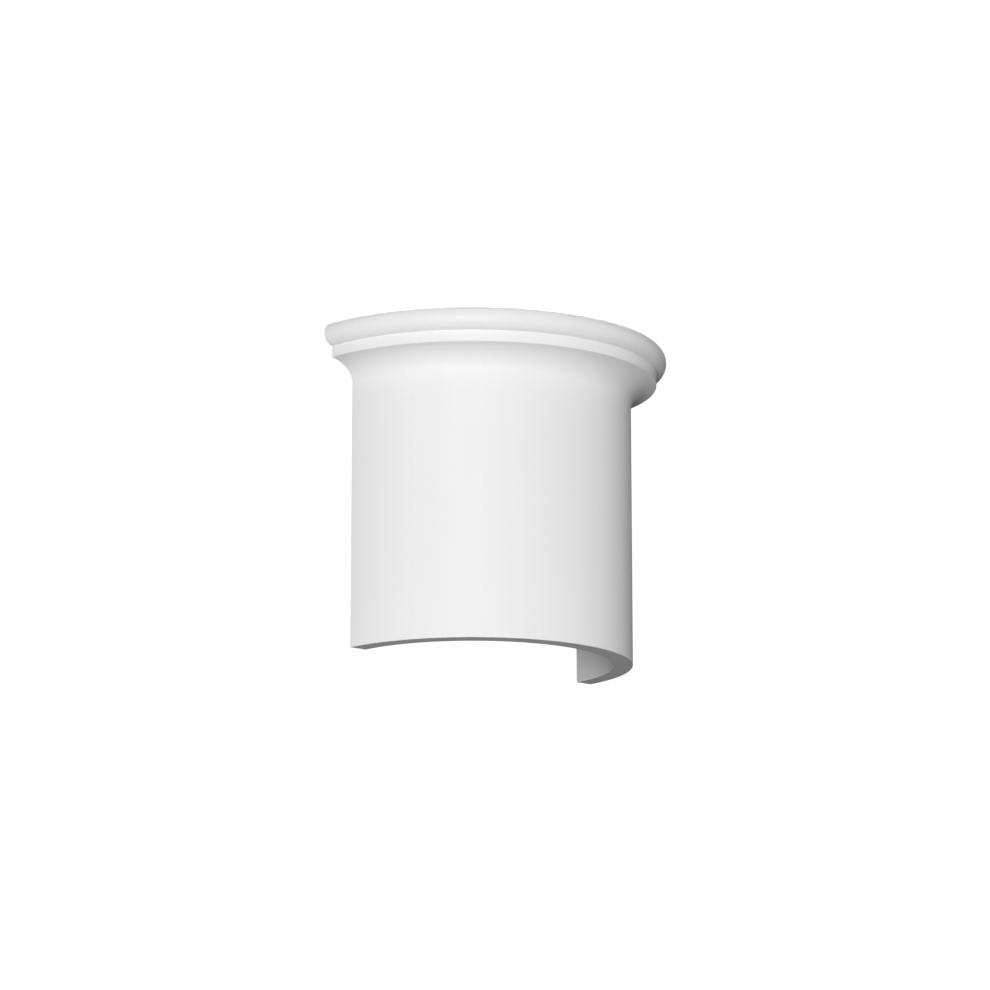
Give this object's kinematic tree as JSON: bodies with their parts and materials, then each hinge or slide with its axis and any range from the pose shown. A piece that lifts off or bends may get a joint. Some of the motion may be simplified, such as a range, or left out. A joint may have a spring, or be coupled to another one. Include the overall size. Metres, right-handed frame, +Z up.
{
  "type": "engaged half column",
  "caption": "Top length of a hollow half-round column, with a cavetto, a fillet and a half-round torus, open at the back.",
  "frame": {"origin": "under the middle of the overall width and depth, on the surface that the half column stands on", "axes": "+X to the viewer's right when facing the column, +Y towards the wall behind it, +Z up along the shaft"},
  "size_m": [0.368, 0.184, 0.3035],
  "materials": {
    "primed_foam": "matt white primer on a smooth rigid foam casting"
  },
  "bodies": {
    "root": {"half_column": "primed_foam"}
  },
  "joints": []
}
